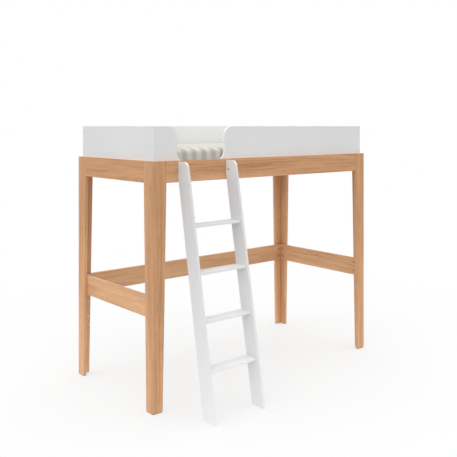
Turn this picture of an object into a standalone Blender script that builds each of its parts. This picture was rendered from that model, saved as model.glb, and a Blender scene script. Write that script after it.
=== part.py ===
"""A single loft bed: four L-shaped legs, upper and lower rails, painted guard panels, a slatted base,
a lift-out mattress and a bolted ladder. Metres, +Z up. The origin is on the floor, at the middle of
the whole footprint, ladder included. +X runs along the bed, and the ladder stands on the -Y side."""

import math

import bmesh
import bpy
from mathutils import Matrix, Vector

# Driving dimensions of the wood frame
BED_LENGTH = 2.090
BED_WIDTH = 0.976
RAIL_TOP = 1.604
RAIL_HEIGHT = 0.141
BOARD = 0.022
LEG_TOP_WIDTH = 0.105
LEG_FLOOR_WIDTH = 0.0755
LOWER_RAIL_TOP = 0.735
LOWER_RAIL_HEIGHT = 0.140
ARRIS = 0.001
TOUCHING_GAP = 0.0003

# Guard panels and the way in at the ladder
GUARD_TOP = 1.828
GUARD_BOTTOM = 1.468
GUARD_BOARD = 0.015
ENTRY_START = 0.205
ENTRY_WIDTH = 0.401
ENTRY_FLOOR = 1.602
ENTRY_TOP_RADIUS = 0.072
ENTRY_FLOOR_RADIUS = 0.050

# Slatted base and mattress
CLEAT_WIDTH = 0.030
CLEAT_END_ROOM = 0.002
SLAT_COUNT = 12
SLAT_WIDTH = 0.090
SLAT_THICKNESS = 0.018
SLAT_TOP = 1.523
SLAT_END_ROOM = 0.003
MATTRESS_LENGTH = 1.990
MATTRESS_WIDTH = 0.886
MATTRESS_THICKNESS = 0.165
MATTRESS_CORNER_RADIUS = 0.045
MATTRESS_RIM_RADIUS = 0.022

# Ladder
LADDER_START = 0.196
LADDER_WIDTH = 0.422
LADDER_TOP = 1.595
LADDER_REACH = 0.381
UPRIGHT_FROM = 1.500
STRINGER_DEPTH = 0.114
STRINGER_THICKNESS = 0.016
STRINGER_CORNER_RADIUS = 0.045
TREAD_TOPS = (0.310, 0.605, 0.900, 1.195)
TREAD_THICKNESS = 0.016
TREAD_DEPTH = 0.090
TREAD_BACK_ROOM = 0.002

# Fasteners
FASTENER_SIDES = 16
LADDER_BOLT_HEIGHT = 1.532
BARREL_NUT_SETBACK = 0.026
BARREL_NUT_RADIUS = 0.006
BARREL_NUT_LENGTH = 0.0125
BOLT_RADIUS = 0.003
BOLT_HEAD_RADIUS = 0.0075
BOLT_HEAD_HEIGHT = 0.003
BOLT_SOCKET_RADIUS = 0.0024
BOLT_SOCKET_DEPTH = 0.0018
BOLT_ROOM = 0.0005
LADDER_BOLT_PAST_NUT = 0.006
COUNTERBORE_DEPTH = 0.004
RAIL_BOLT_INSET = 0.068
RAIL_BOLT_SPACING = 0.065
RAIL_BOLT_IN_LEG = 0.015
SPARE_HOLE_RADIUS = 0.004
SPARE_HOLE_HEIGHTS = (0.351, 0.416, 0.522)

# Foot pads
PAD_THICKNESS = 0.003
PAD_INSET = 0.002

# Places worked out from the sizes above
LEFT = -BED_LENGTH / 2
RIGHT = BED_LENGTH / 2
FRONT = (LADDER_REACH - BED_WIDTH) / 2
BACK = FRONT + BED_WIDTH
RAIL_BOTTOM = RAIL_TOP - RAIL_HEIGHT
LOWER_RAIL_BOTTOM = LOWER_RAIL_TOP - LOWER_RAIL_HEIGHT
LEG_BOTTOM = PAD_THICKNESS + TOUCHING_GAP
GUARD_FACE = BOARD + TOUCHING_GAP
GUARD_INNER = GUARD_FACE + GUARD_BOARD
SLAT_BOTTOM = SLAT_TOP - SLAT_THICKNESS
MATTRESS_BOTTOM = SLAT_TOP + TOUCHING_GAP
LOWER_RAIL_MIDDLE = (LOWER_RAIL_TOP + LOWER_RAIL_BOTTOM) / 2
RAIL_BOLT_HEIGHTS = (
    LOWER_RAIL_MIDDLE - RAIL_BOLT_SPACING / 2,
    LOWER_RAIL_MIDDLE + RAIL_BOLT_SPACING / 2,
)
# How far the ladder's back edge comes forward for each metre down from where it stops being upright
LADDER_SLOPE = (LADDER_REACH - STRINGER_DEPTH - TOUCHING_GAP) / UPRIGHT_FROM

AXIS_NUMBER = {"X": 0, "Y": 1, "Z": 2}
TURN_TO_AXIS = {
    "+X": Matrix.Rotation(math.pi / 2, 4, "Y"),
    "-X": Matrix.Rotation(-math.pi / 2, 4, "Y"),
    "+Y": Matrix.Rotation(-math.pi / 2, 4, "X"),
    "-Y": Matrix.Rotation(math.pi / 2, 4, "X"),
}


def clear_scene():
    for obj in list(bpy.data.objects):
        bpy.data.objects.remove(obj, do_unlink=True)


def principled(name, colour, roughness, metallic=0.0):
    material = bpy.data.materials.new(name)
    material.use_nodes = True
    shader = material.node_tree.nodes["Principled BSDF"]
    shader.inputs["Base Color"].default_value = (*colour, 1.0)
    shader.inputs["Roughness"].default_value = roughness
    shader.inputs["Metallic"].default_value = metallic
    material.diffuse_color = (*colour, 1.0)
    return material


def place(name, mesh, material, location, turn=None):
    """An object of this mesh, at this place in the scene."""
    obj = bpy.data.objects.new(name, mesh)
    if not mesh.materials:
        mesh.materials.append(material)
    obj.location = location
    if turn is not None:
        obj.rotation_euler = turn.to_euler()
    bpy.context.scene.collection.objects.link(obj)
    return obj


def prism_mesh(name, outline, axis, low, high):
    """A closed prism along an axis, from low to high. The outline gives the other two axes, in order."""
    along = AXIS_NUMBER[axis]
    across = [number for number in range(3) if number != along]
    build = bmesh.new()
    ends = []
    for level in (low, high):
        ring = []
        for point in outline:
            spot = [0.0, 0.0, 0.0]
            spot[along] = level
            spot[across[0]] = point[0]
            spot[across[1]] = point[1]
            ring.append(build.verts.new(spot))
        ends.append(ring)
    count = len(outline)
    for index in range(count):
        after = (index + 1) % count
        build.faces.new((ends[0][index], ends[0][after], ends[1][after], ends[1][index]))
    build.faces.new(ends[0])
    build.faces.new(ends[1])
    bmesh.ops.recalc_face_normals(build, faces=build.faces)
    mesh = bpy.data.meshes.new(name)
    build.to_mesh(mesh)
    build.free()
    return mesh


def prism(name, outline, axis, low, high, material):
    """A prism given in scene coordinates, with its object's origin moved to the middle of its box."""
    mesh = prism_mesh(name, outline, axis, low, high)
    lowest = Vector([min(v.co[k] for v in mesh.vertices) for k in range(3)])
    highest = Vector([max(v.co[k] for v in mesh.vertices) for k in range(3)])
    middle = (lowest + highest) / 2
    mesh.transform(Matrix.Translation(-middle))
    return place(name, mesh, material, middle)


def block(name, low, high, material):
    """A rectangular board between two opposite corners."""
    outline = [(low[0], low[1]), (high[0], low[1]), (high[0], high[1]), (low[0], high[1])]
    return prism(name, outline, "Z", low[2], high[2], material)


def ease(obj, width=ARRIS, segments=2, sharp_angle=30):
    """Rounds the sharp edges a little, as sandpaper does."""
    bevel = obj.modifiers.new("eased_edges", "BEVEL")
    bevel.width = width
    bevel.segments = segments
    bevel.limit_method = "ANGLE"
    bevel.angle_limit = math.radians(sharp_angle)
    bevel.use_clamp_overlap = True
    return obj


def arc(centre, radius, start_deg, end_deg, steps):
    """Points on an arc, both ends included."""
    points = []
    for step in range(steps + 1):
        angle = math.radians(start_deg + (end_deg - start_deg) * step / steps)
        points.append((centre[0] + radius * math.cos(angle), centre[1] + radius * math.sin(angle)))
    return points


def turned_mesh(name, profile, sides=FASTENER_SIDES):
    """A solid turned about Z from (radius, height) points that run from the bottom to the top."""
    build = bmesh.new()
    rings = []
    for radius, height in profile:
        ring = []
        for side in range(sides):
            angle = 2 * math.pi * side / sides
            ring.append(build.verts.new((radius * math.cos(angle), radius * math.sin(angle), height)))
        rings.append(ring)
    for lower, upper in zip(rings, rings[1:]):
        for side in range(sides):
            after = (side + 1) % sides
            build.faces.new((lower[side], lower[after], upper[after], upper[side]))
    build.faces.new(rings[0])
    build.faces.new(rings[-1])
    bmesh.ops.recalc_face_normals(build, faces=build.faces)
    mesh = bpy.data.meshes.new(name)
    build.to_mesh(mesh)
    build.free()
    return mesh


def cut_round_hole(obj, name, radius, start, direction, depth):
    """Bores a round hole into obj from start, along +X, -X, +Y or -Y."""
    hole_mesh = turned_mesh(name, [(radius, 0.0), (radius, depth)])
    cutter = place(name, hole_mesh, None, start, TURN_TO_AXIS[direction])
    subtract(obj, cutter)


def subtract(obj, cutter):
    cutter.hide_render = True
    cutter.display_type = "WIRE"
    cut = obj.modifiers.new("cut_" + cutter.name, "BOOLEAN")
    cut.operation = "DIFFERENCE"
    cut.solver = "EXACT"
    cut.object = cutter


def bolt_mesh(name, length):
    """A round-headed bolt with a hexagon socket: it points along +Z, with the head's underside at Z = 0."""
    edge = BOLT_HEAD_HEIGHT / 3
    profile = [
        (BOLT_HEAD_RADIUS - edge, -BOLT_HEAD_HEIGHT),
        (BOLT_HEAD_RADIUS, edge - BOLT_HEAD_HEIGHT),
        (BOLT_HEAD_RADIUS, 0.0),
        (BOLT_RADIUS, 0.0),
        (BOLT_RADIUS, length - BOLT_RADIUS / 3),
        (BOLT_RADIUS * 2 / 3, length),
    ]
    blank = place(name + "_blank", turned_mesh(name, profile), None, (0, 0, 0))
    socket_outline = arc((0, 0), BOLT_SOCKET_RADIUS, 0, 300, 5)
    deep = BOLT_SOCKET_DEPTH - BOLT_HEAD_HEIGHT
    socket = place(
        name + "_socket",
        prism_mesh(name + "_socket", socket_outline, "Z", -2 * BOLT_HEAD_HEIGHT, deep),
        None,
        (0, 0, 0),
    )
    subtract(blank, socket)
    bpy.context.view_layer.update()
    evaluated = blank.evaluated_get(bpy.context.evaluated_depsgraph_get())
    mesh = bpy.data.meshes.new_from_object(evaluated)
    mesh.name = name
    mesh.materials.clear()
    bpy.data.objects.remove(blank, do_unlink=True)
    bpy.data.objects.remove(socket, do_unlink=True)
    return mesh


def leg_width_at(height):
    """Width of a leg face, from its outer corner: straight beside the rail, tapered below it."""
    share = min(height, RAIL_BOTTOM) / RAIL_BOTTOM
    return LEG_FLOOR_WIDTH + (LEG_TOP_WIDTH - LEG_FLOOR_WIDTH) * share


def leg_outline(corner, inward, start):
    """A leg board seen flat on: corner is the leg's outer edge, and inward is +1 or -1."""
    return [
        (corner + inward * start, LEG_BOTTOM),
        (corner + inward * leg_width_at(LEG_BOTTOM), LEG_BOTTOM),
        (corner + inward * LEG_TOP_WIDTH, RAIL_BOTTOM),
        (corner + inward * LEG_TOP_WIDTH, RAIL_TOP),
        (corner + inward * start, RAIL_TOP),
    ]


def leg(end_name, end_x, inward_x, side_name, side_y, inward_y, wood):
    """Two tapered boards that meet at the outer corner. The front or back one covers the other's edge."""
    stem = f"{side_name}_{end_name}_leg"
    face_board = prism(
        f"{stem}_{side_name}_board",
        leg_outline(end_x, inward_x, 0.0),
        "Y",
        *sorted((side_y, side_y + inward_y * BOARD)),
        wood,
    )
    side_board = prism(
        f"{stem}_side_board",
        leg_outline(side_y, inward_y, BOARD + TOUCHING_GAP),
        "X",
        *sorted((end_x, end_x + inward_x * BOARD)),
        wood,
    )
    ease(face_board)
    ease(side_board)
    return face_board, side_board


def foot_pad(name, end_x, inward_x, side_y, inward_y, felt):
    """An L-shaped felt pad under one leg."""
    outer = PAD_INSET
    reach = LEG_FLOOR_WIDTH - PAD_INSET
    inner = BOARD - PAD_INSET
    corners = [(outer, outer), (reach, outer), (reach, inner), (inner, inner), (inner, reach), (outer, reach)]
    outline = [(end_x + inward_x * x, side_y + inward_y * y) for x, y in corners]
    return prism(name, outline, "Z", 0.0, PAD_THICKNESS, felt)


def upper_rails(wood):
    """Four rails between the legs, flush with the legs' outer faces and with their tops."""
    end_room = LEG_TOP_WIDTH + TOUCHING_GAP
    for name, low_y in (("upper_front_rail", FRONT), ("upper_back_rail", BACK - BOARD)):
        rail = block(
            name,
            (LEFT + end_room, low_y, RAIL_BOTTOM),
            (RIGHT - end_room, low_y + BOARD, RAIL_TOP),
            wood,
        )
        ease(rail)
    for name, low_x in (("upper_left_rail", LEFT), ("upper_right_rail", RIGHT - BOARD)):
        rail = block(
            name,
            (low_x, FRONT + end_room, RAIL_BOTTOM),
            (low_x + BOARD, BACK - end_room, RAIL_TOP),
            wood,
        )
        ease(rail)


def lower_rails(wood):
    """Rails at the back and both ends, fixed to the inner faces of the legs. The front stays open."""
    outer = BOARD + TOUCHING_GAP
    inner = outer + BOARD
    back = block(
        "lower_back_rail",
        (LEFT + outer, BACK - inner, LOWER_RAIL_BOTTOM),
        (RIGHT - outer, BACK - outer, LOWER_RAIL_TOP),
        wood,
    )
    start_y = FRONT + outer
    end_y = BACK - inner - TOUCHING_GAP
    left = block(
        "lower_left_rail",
        (LEFT + outer, start_y, LOWER_RAIL_BOTTOM),
        (LEFT + inner, end_y, LOWER_RAIL_TOP),
        wood,
    )
    right = block(
        "lower_right_rail",
        (RIGHT - inner, start_y, LOWER_RAIL_BOTTOM),
        (RIGHT - outer, end_y, LOWER_RAIL_TOP),
        wood,
    )
    for rail in (back, left, right):
        ease(rail)
    return back, left, right


def entry_outline(start_x, end_x):
    """The front guard seen from the front, with a U-shaped way in whose corners are all rounded."""
    entry_left = LEFT + ENTRY_START
    entry_right = entry_left + ENTRY_WIDTH
    top = ENTRY_TOP_RADIUS
    floor = ENTRY_FLOOR_RADIUS
    steps = 8
    points = [(start_x, GUARD_BOTTOM), (end_x, GUARD_BOTTOM), (end_x, GUARD_TOP)]
    points += arc((entry_right + top, GUARD_TOP - top), top, 90, 180, steps)
    points += arc((entry_right - floor, ENTRY_FLOOR + floor), floor, 0, -90, steps)
    points += arc((entry_left + floor, ENTRY_FLOOR + floor), floor, -90, -180, steps)
    points += arc((entry_left - top, GUARD_TOP - top), top, 0, 90, steps)
    points.append((start_x, GUARD_TOP))
    return points


def guard_panels(paint):
    """Four painted boards standing inside the rails. The end boards cover the ends of the long ones."""
    start_y = FRONT + GUARD_FACE
    end_y = BACK - GUARD_FACE
    left = block(
        "left_guard_panel",
        (LEFT + GUARD_FACE, start_y, GUARD_BOTTOM),
        (LEFT + GUARD_INNER, end_y, GUARD_TOP),
        paint,
    )
    right = block(
        "right_guard_panel",
        (RIGHT - GUARD_INNER, start_y, GUARD_BOTTOM),
        (RIGHT - GUARD_FACE, end_y, GUARD_TOP),
        paint,
    )
    start_x = LEFT + GUARD_INNER + TOUCHING_GAP
    end_x = RIGHT - GUARD_INNER - TOUCHING_GAP
    back = block(
        "back_guard_panel",
        (start_x, end_y - GUARD_BOARD, GUARD_BOTTOM),
        (end_x, end_y, GUARD_TOP),
        paint,
    )
    front = prism(
        "front_guard_panel",
        entry_outline(start_x, end_x),
        "Y",
        start_y,
        start_y + GUARD_BOARD,
        paint,
    )
    for panel in (left, right, back, front):
        ease(panel)


def slatted_base(slat_wood):
    """Two cleats along the long guards, with slats lying across them."""
    inside_left = LEFT + GUARD_INNER
    inside_right = RIGHT - GUARD_INNER
    face_room = GUARD_INNER + TOUCHING_GAP
    cleat_top = SLAT_BOTTOM - TOUCHING_GAP
    for name, low_y in (
        ("front_slat_cleat", FRONT + face_room),
        ("back_slat_cleat", BACK - face_room - CLEAT_WIDTH),
    ):
        cleat = block(
            name,
            (inside_left + CLEAT_END_ROOM, low_y, GUARD_BOTTOM),
            (inside_right - CLEAT_END_ROOM, low_y + CLEAT_WIDTH, cleat_top),
            slat_wood,
        )
        ease(cleat, segments=1)
    gap = (inside_right - inside_left - SLAT_COUNT * SLAT_WIDTH) / (SLAT_COUNT + 1)
    for number in range(SLAT_COUNT):
        low_x = inside_left + gap + number * (gap + SLAT_WIDTH)
        slat = block(
            f"slat_{number + 1:02d}",
            (low_x, FRONT + GUARD_INNER + SLAT_END_ROOM, SLAT_BOTTOM),
            (low_x + SLAT_WIDTH, BACK - GUARD_INNER - SLAT_END_ROOM, SLAT_TOP),
            slat_wood,
        )
        ease(slat, width=0.002, segments=1)


def mattress(fabric):
    """A plain closed block with rounded corners. Its origin is on the line that it lifts along."""
    half_length = MATTRESS_LENGTH / 2
    half_width = MATTRESS_WIDTH / 2
    radius = MATTRESS_CORNER_RADIUS
    outline = []
    for quarter, (sign_x, sign_y) in enumerate(((1, 1), (-1, 1), (-1, -1), (1, -1))):
        centre = (sign_x * (half_length - radius), sign_y * (half_width - radius))
        outline += arc(centre, radius, quarter * 90, quarter * 90 + 90, 5)
    mesh = prism_mesh("mattress", outline, "Z", 0.0, MATTRESS_THICKNESS)
    body = place("mattress", mesh, fabric, (0.0, (FRONT + BACK) / 2, MATTRESS_BOTTOM))
    ease(body, width=MATTRESS_RIM_RADIUS, segments=3, sharp_angle=60)


def stringer_outline():
    """A ladder side seen from the end of the bed: upright against the rail, then sloping to a flat foot."""
    back_face = FRONT - TOUCHING_GAP
    foot_back = back_face - LADDER_SLOPE * UPRIGHT_FROM
    foot_front = foot_back - STRINGER_DEPTH
    slope_angle = math.atan(LADDER_SLOPE)
    radius = STRINGER_CORNER_RADIUS
    # The rounded top corner touches the level top edge and the sloping front edge
    centre_z = LADDER_TOP - radius
    front_at_centre = foot_front + LADDER_SLOPE * centre_z
    centre_y = front_at_centre + radius / math.cos(slope_angle)
    turn = math.degrees(slope_angle)
    points = [(foot_back, 0.0), (back_face, UPRIGHT_FROM), (back_face, LADDER_TOP)]
    points += arc((centre_y, centre_z), radius, 90, 180 - turn, 8)
    points.append((foot_front, 0.0))
    return points


def ladder(paint, steel):
    """Two sides and four treads. Each side is held by a bolt from inside the bed, into a barrel nut."""
    ladder_left = LEFT + LADDER_START
    ladder_right = ladder_left + LADDER_WIDTH
    thickness = STRINGER_THICKNESS
    sides = {
        "left": (ladder_left, ladder_left + thickness),
        "right": (ladder_right - thickness, ladder_right),
    }
    stringers = {}
    for name, (low_x, high_x) in sides.items():
        stringers[name] = prism(f"ladder_{name}_stringer", stringer_outline(), "X", low_x, high_x, paint)
        ease(stringers[name])
    inner_left = ladder_left + thickness + TOUCHING_GAP
    inner_right = ladder_right - thickness - TOUCHING_GAP
    for number, top in enumerate(TREAD_TOPS):
        bottom = top - TREAD_THICKNESS
        back_y = FRONT - LADDER_SLOPE * (UPRIGHT_FROM - bottom) - TREAD_BACK_ROOM
        tread = block(
            f"ladder_tread_{number + 1}",
            (inner_left, back_y - TREAD_DEPTH, bottom),
            (inner_right, back_y, top),
            paint,
        )
        ease(tread, width=0.0015)
    ladder_fasteners(stringers, sides, steel)


def ladder_fasteners(stringers, sides, steel):
    """A bolt and a barrel nut for each side. The nut's blind hole opens on the side's inner face."""
    head_face = FRONT + GUARD_INNER - COUNTERBORE_DEPTH + BOLT_ROOM
    nut_y = FRONT - BARREL_NUT_SETBACK
    bolt_length = head_face - nut_y + LADDER_BOLT_PAST_NUT
    shared_bolt = bolt_mesh("ladder_bolt", bolt_length)
    rail = bpy.data.objects["upper_front_rail"]
    panel = bpy.data.objects["front_guard_panel"]
    for name, (low_x, high_x) in sides.items():
        middle_x = (low_x + high_x) / 2
        direction = "-X" if name == "left" else "+X"
        inner_face = high_x if name == "left" else low_x
        outward = -1 if name == "left" else 1
        spot = (middle_x, head_face, LADDER_BOLT_HEIGHT)
        place(f"ladder_{name}_bolt", shared_bolt, steel, spot, TURN_TO_AXIS["-Y"])
        stem = f"{name}_ladder_bolt"
        hole = BOLT_RADIUS + BOLT_ROOM
        inside = (middle_x, FRONT + GUARD_INNER + BOLT_ROOM, LADDER_BOLT_HEIGHT)
        reach = inside[1] - nut_y + LADDER_BOLT_PAST_NUT + 2 * BOLT_ROOM
        for obj in (panel, rail, stringers[name]):
            cut_round_hole(obj, f"{stem}_hole_in_{obj.name}", hole, inside, "-Y", reach)
        cut_round_hole(
            panel,
            f"{stem}_counterbore",
            BOLT_HEAD_RADIUS + 2 * BOLT_ROOM,
            inside,
            "-Y",
            COUNTERBORE_DEPTH + BOLT_ROOM,
        )
        nut_spot = (inner_face, nut_y, LADDER_BOLT_HEIGHT)
        nut_mouth = (inner_face - outward * BOLT_ROOM, nut_y, LADDER_BOLT_HEIGHT)
        nut_profile = [(BARREL_NUT_RADIUS, BOLT_ROOM), (BARREL_NUT_RADIUS, BARREL_NUT_LENGTH)]
        nut = place(
            f"ladder_{name}_barrel_nut",
            turned_mesh(f"{name}_barrel_nut", nut_profile),
            steel,
            nut_spot,
            TURN_TO_AXIS[direction],
        )
        cut_round_hole(nut, f"{stem}_hole_in_nut", hole, inside, "-Y", reach + BARREL_NUT_RADIUS)
        cut_round_hole(
            stringers[name],
            f"{stem}_nut_hole",
            BARREL_NUT_RADIUS + BOLT_ROOM,
            nut_mouth,
            direction,
            BARREL_NUT_LENGTH + 2 * BOLT_ROOM,
        )


def rail_bolts(name, rail, legs, spots, direction, mesh, steel):
    """Bolts from inside, through a lower rail and into the legs. Each spot is under a bolt's head."""
    for number, (spot, leg_board) in enumerate(zip(spots, legs)):
        place(f"{name}_bolt_{number + 1}", mesh, steel, spot, TURN_TO_AXIS[direction])
        depth = BOARD + 2 * TOUCHING_GAP + RAIL_BOLT_IN_LEG + BOLT_ROOM
        start = Vector(spot) - TURN_TO_AXIS[direction] @ Vector((0, 0, BOLT_ROOM))
        for obj in (rail, leg_board):
            stem = f"{name}_bolt_{number + 1}_hole_in_{obj.name}"
            cut_round_hole(obj, stem, BOLT_RADIUS + BOLT_ROOM, start, direction, depth + BOLT_ROOM)


def lower_rail_fasteners(back, left, right, legs, steel):
    """Two bolts at each end of each lower rail."""
    under_head = TOUCHING_GAP
    length = under_head + BOARD + TOUCHING_GAP + RAIL_BOLT_IN_LEG
    mesh = bolt_mesh("rail_bolt", length)
    head_room = BOARD + TOUCHING_GAP + BOARD + under_head
    for name, rail, head_x, direction in (
        ("lower_left_rail", left, LEFT + head_room, "-X"),
        ("lower_right_rail", right, RIGHT - head_room, "+X"),
    ):
        end_name = "left" if direction == "-X" else "right"
        spots = []
        boards = []
        for side_name, y in (("front", FRONT + RAIL_BOLT_INSET), ("back", BACK - RAIL_BOLT_INSET)):
            for z in RAIL_BOLT_HEIGHTS:
                spots.append((head_x, y, z))
                boards.append(legs[side_name, end_name][1])
        rail_bolts(name, rail, boards, spots, direction, mesh, steel)
    spots = []
    boards = []
    for end_name, x in (("left", LEFT + RAIL_BOLT_INSET), ("right", RIGHT - RAIL_BOLT_INSET)):
        for z in RAIL_BOLT_HEIGHTS:
            spots.append((x, BACK - head_room, z))
            boards.append(legs["back", end_name][0])
    rail_bolts("lower_back_rail", back, boards, spots, "+Y", mesh, steel)


def spare_leg_holes(board):
    """Three small holes right through the back left leg, in line with the lower rail's bolts."""
    for number, height in enumerate(SPARE_HOLE_HEIGHTS):
        start = (LEFT + RAIL_BOLT_INSET, BACK - BOARD - BOLT_ROOM, height)
        depth = BOARD + 2 * BOLT_ROOM
        cut_round_hole(board, f"spare_hole_{number + 1}", SPARE_HOLE_RADIUS, start, "+Y", depth)


def main():
    clear_scene()
    wood = principled("oiled_wood", (0.56, 0.33, 0.175), 0.45)
    paint = principled("white_paint", (0.80, 0.80, 0.80), 0.40)
    slat_wood = principled("slat_wood", (0.66, 0.50, 0.32), 0.60)
    fabric = principled("mattress_fabric", (0.75, 0.75, 0.70), 0.90)
    steel = principled("zinc_plated_steel", (0.45, 0.46, 0.48), 0.35, 1.0)
    felt = principled("grey_felt", (0.10, 0.09, 0.08), 0.95)

    legs = {}
    for side_name, side_y, inward_y in (("front", FRONT, 1), ("back", BACK, -1)):
        for end_name, end_x, inward_x in (("left", LEFT, 1), ("right", RIGHT, -1)):
            legs[side_name, end_name] = leg(
                end_name, end_x, inward_x, side_name, side_y, inward_y, wood
            )
            foot_pad(f"{side_name}_{end_name}_foot_pad", end_x, inward_x, side_y, inward_y, felt)
    upper_rails(wood)
    back, left, right = lower_rails(wood)
    guard_panels(paint)
    slatted_base(slat_wood)
    mattress(fabric)
    ladder(paint, steel)
    lower_rail_fasteners(back, left, right, legs, steel)
    spare_leg_holes(legs["back", "left"][0])


main()
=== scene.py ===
"""The looks of the single loft bed: wood, paint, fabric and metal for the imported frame, a stuffed mattress
with its seams, the small screws, and a plain white studio."""

import math

import bmesh
import bpy
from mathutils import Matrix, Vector, noise
from mathutils.bvhtree import BVHTree


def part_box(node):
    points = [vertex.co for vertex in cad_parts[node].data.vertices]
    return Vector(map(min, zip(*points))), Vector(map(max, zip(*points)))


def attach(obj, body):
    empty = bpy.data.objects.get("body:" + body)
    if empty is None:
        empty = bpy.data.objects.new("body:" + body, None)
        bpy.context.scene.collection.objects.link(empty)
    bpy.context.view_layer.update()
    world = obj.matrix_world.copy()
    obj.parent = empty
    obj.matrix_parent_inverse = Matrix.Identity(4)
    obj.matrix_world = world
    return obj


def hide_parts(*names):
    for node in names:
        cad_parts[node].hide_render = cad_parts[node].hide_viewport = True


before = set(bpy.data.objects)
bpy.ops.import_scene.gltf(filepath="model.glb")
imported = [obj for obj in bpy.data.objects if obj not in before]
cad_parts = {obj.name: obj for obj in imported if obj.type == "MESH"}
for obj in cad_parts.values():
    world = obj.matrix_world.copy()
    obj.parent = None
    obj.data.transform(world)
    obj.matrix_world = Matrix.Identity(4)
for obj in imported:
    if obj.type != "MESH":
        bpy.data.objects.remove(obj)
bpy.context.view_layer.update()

# Camera, measured from the outer front left corner of the frame at floor level
CAMERA_BACK = Vector((-2.4605, -3.6480, 1.828))
CAMERA_TURN_DEG = 40.23
CAMERA_LENS = 54.54
CAMERA_SENSOR = 36.0
CAMERA_SHIFT_Y = -0.2241

# Studio. Fades run between two distances from the middle of the bed, and bounce is the light that the
# floor throws up on to it
FLOOR_RADIUS = 30.0
FLOOR_SIDES = 96
FLOOR_ROUGHNESS = 0.9
FLOOR_FADE_START = 1.5
FLOOR_FADE_END = 3.8
FLOOR_LEVEL = 0.95
FLOOR_OWN_LIGHT = 0.72
FLOOR_GLOW = 0.858
FLOOR_BOUNCE = 0.80
FLOOR_BOUNCE_FAR = 0.10
BOUNCE_FADE_START = 2.5
BOUNCE_FADE_END = 4.5
SKY_LOW = 0.70
SKY_RISE = 1.60
KEY_FROM = (-0.56, -0.81, 0.20)
KEY_STRENGTH = 0.30
KEY_ANGLE_DEG = 50.0
FILL_FROM = (-0.92, -0.10, 0.38)
FILL_STRENGTH = 0.60
FILL_ANGLE_DEG = 80.0
LAMP_DISTANCE = 5.0

# Colours, as linear values
WOOD_DARK = (0.390, 0.176, 0.075)
WOOD_MIDDLE = (0.610, 0.319, 0.153)
WOOD_LIGHT = (0.763, 0.435, 0.231)
# Painted light and shade on each kind of board, by the start of its name: the lower rails and back legs are
# made lighter, most in blue, to stand in for light reaching under and into the bed, and the front legs a
# little darker
BOARD_PAINTED_LIGHT = {
    "upper_": (0.99, 1.00, 1.03),
    "lower_": (1.04, 1.10, 1.18),
    "front_": (0.96, 0.98, 1.02),
    "back_": (1.02, 1.06, 1.12),
}
SLAT_DARK = (0.50, 0.33, 0.17)
SLAT_MIDDLE = (0.64, 0.47, 0.28)
SLAT_LIGHT = (0.74, 0.59, 0.39)
KNOT = (0.21, 0.105, 0.045)
PAINT = (0.780, 0.780, 0.783)
# Painted light: the ladder's paint is tinted cool to cancel the warm light that the wood throws on to it
LADDER_PAINT = (0.722, 0.734, 0.743)
# Painted light: the treads' paint is a lighter copy of the ladder's, standing in for stronger light on their
# tops
LIT_TREAD_PAINT = (0.765, 0.777, 0.787)
SCUFF = (0.46, 0.455, 0.445)
CREAM = (0.553, 0.547, 0.506)
STRIPE = (0.391, 0.374, 0.332)
SLUB = (0.88, 0.87, 0.82)
COVER_CLOUD = (0.50, 0.48, 0.42)
WEAVE_SHADE = (0.40, 0.39, 0.34)
ZIP_GAPS = (0.52, 0.51, 0.46)
ZIP_TEETH = (0.72, 0.71, 0.66)
STEEL = (0.60, 0.61, 0.63)
# Painted shade: the barrel nuts' steel is made nearly black to stand in for the shade in their holes
NUT_HOLE_SHADE_STEEL = (0.10, 0.105, 0.12)
BRONZE = (0.44, 0.235, 0.115)
BRIGHT_ZINC = (0.80, 0.735, 0.69)
FELT = (0.055, 0.05, 0.045)
FELT_CLUMPS = (0.12, 0.11, 0.10)

# Wood grain: the stretch of each layer of noise, along and across the grain
BAND_GRAIN = (0.7, 11.0)
WANDER_GRAIN = (2.2, 9.0)
LINE_GRAIN = (1.6, 95.0)
FIBRE_GRAIN = (9.0, 420.0)
VESSEL_GRAIN = (26.0, 900.0)
KNOT_GRAIN = (2.4, 4.6)
RING_WAVES = 58.0
RING_WANDER = 0.22
# Each layer's share of the wood's tone
BAND_SHARE = 0.42
RING_SHARE = 0.11
LINE_SHARE = 0.39
FIBRE_SHARE = 0.14
PORE_DARKNESS = 0.45

# Scales of the other materials' noise
PAINT_CLOUD = (2.5, 2.5, 2.5)
PAINT_PEEL = (420.0, 420.0, 420.0)
PAINT_HAZE = (18.0, 18.0, 18.0)
PAINT_SCUFFS = (14.0, 160.0, 160.0)
STEEL_MOTTLE = 260.0
STEEL_LINES = (300.0, 2600.0, 2600.0)
LACQUER_MOTTLE = 240.0
LACQUER_LINES = (900.0, 900.0, 900.0)
FELT_FUZZ = 1500.0
FELT_CLUMP = 180.0
COVER_SLUB = (900.0, 60.0, 60.0)
COVER_MOTTLE = 5.0
COVER_WOBBLE = 9.0
SEAM_STITCH = 420.0

# The part of a noise's range that is stretched to 0 to 1: a narrower one gives more contrast
SOFT = (0.2, 0.8)
MEDIUM = (0.25, 0.75)
HARD = (0.3, 0.7)

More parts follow.
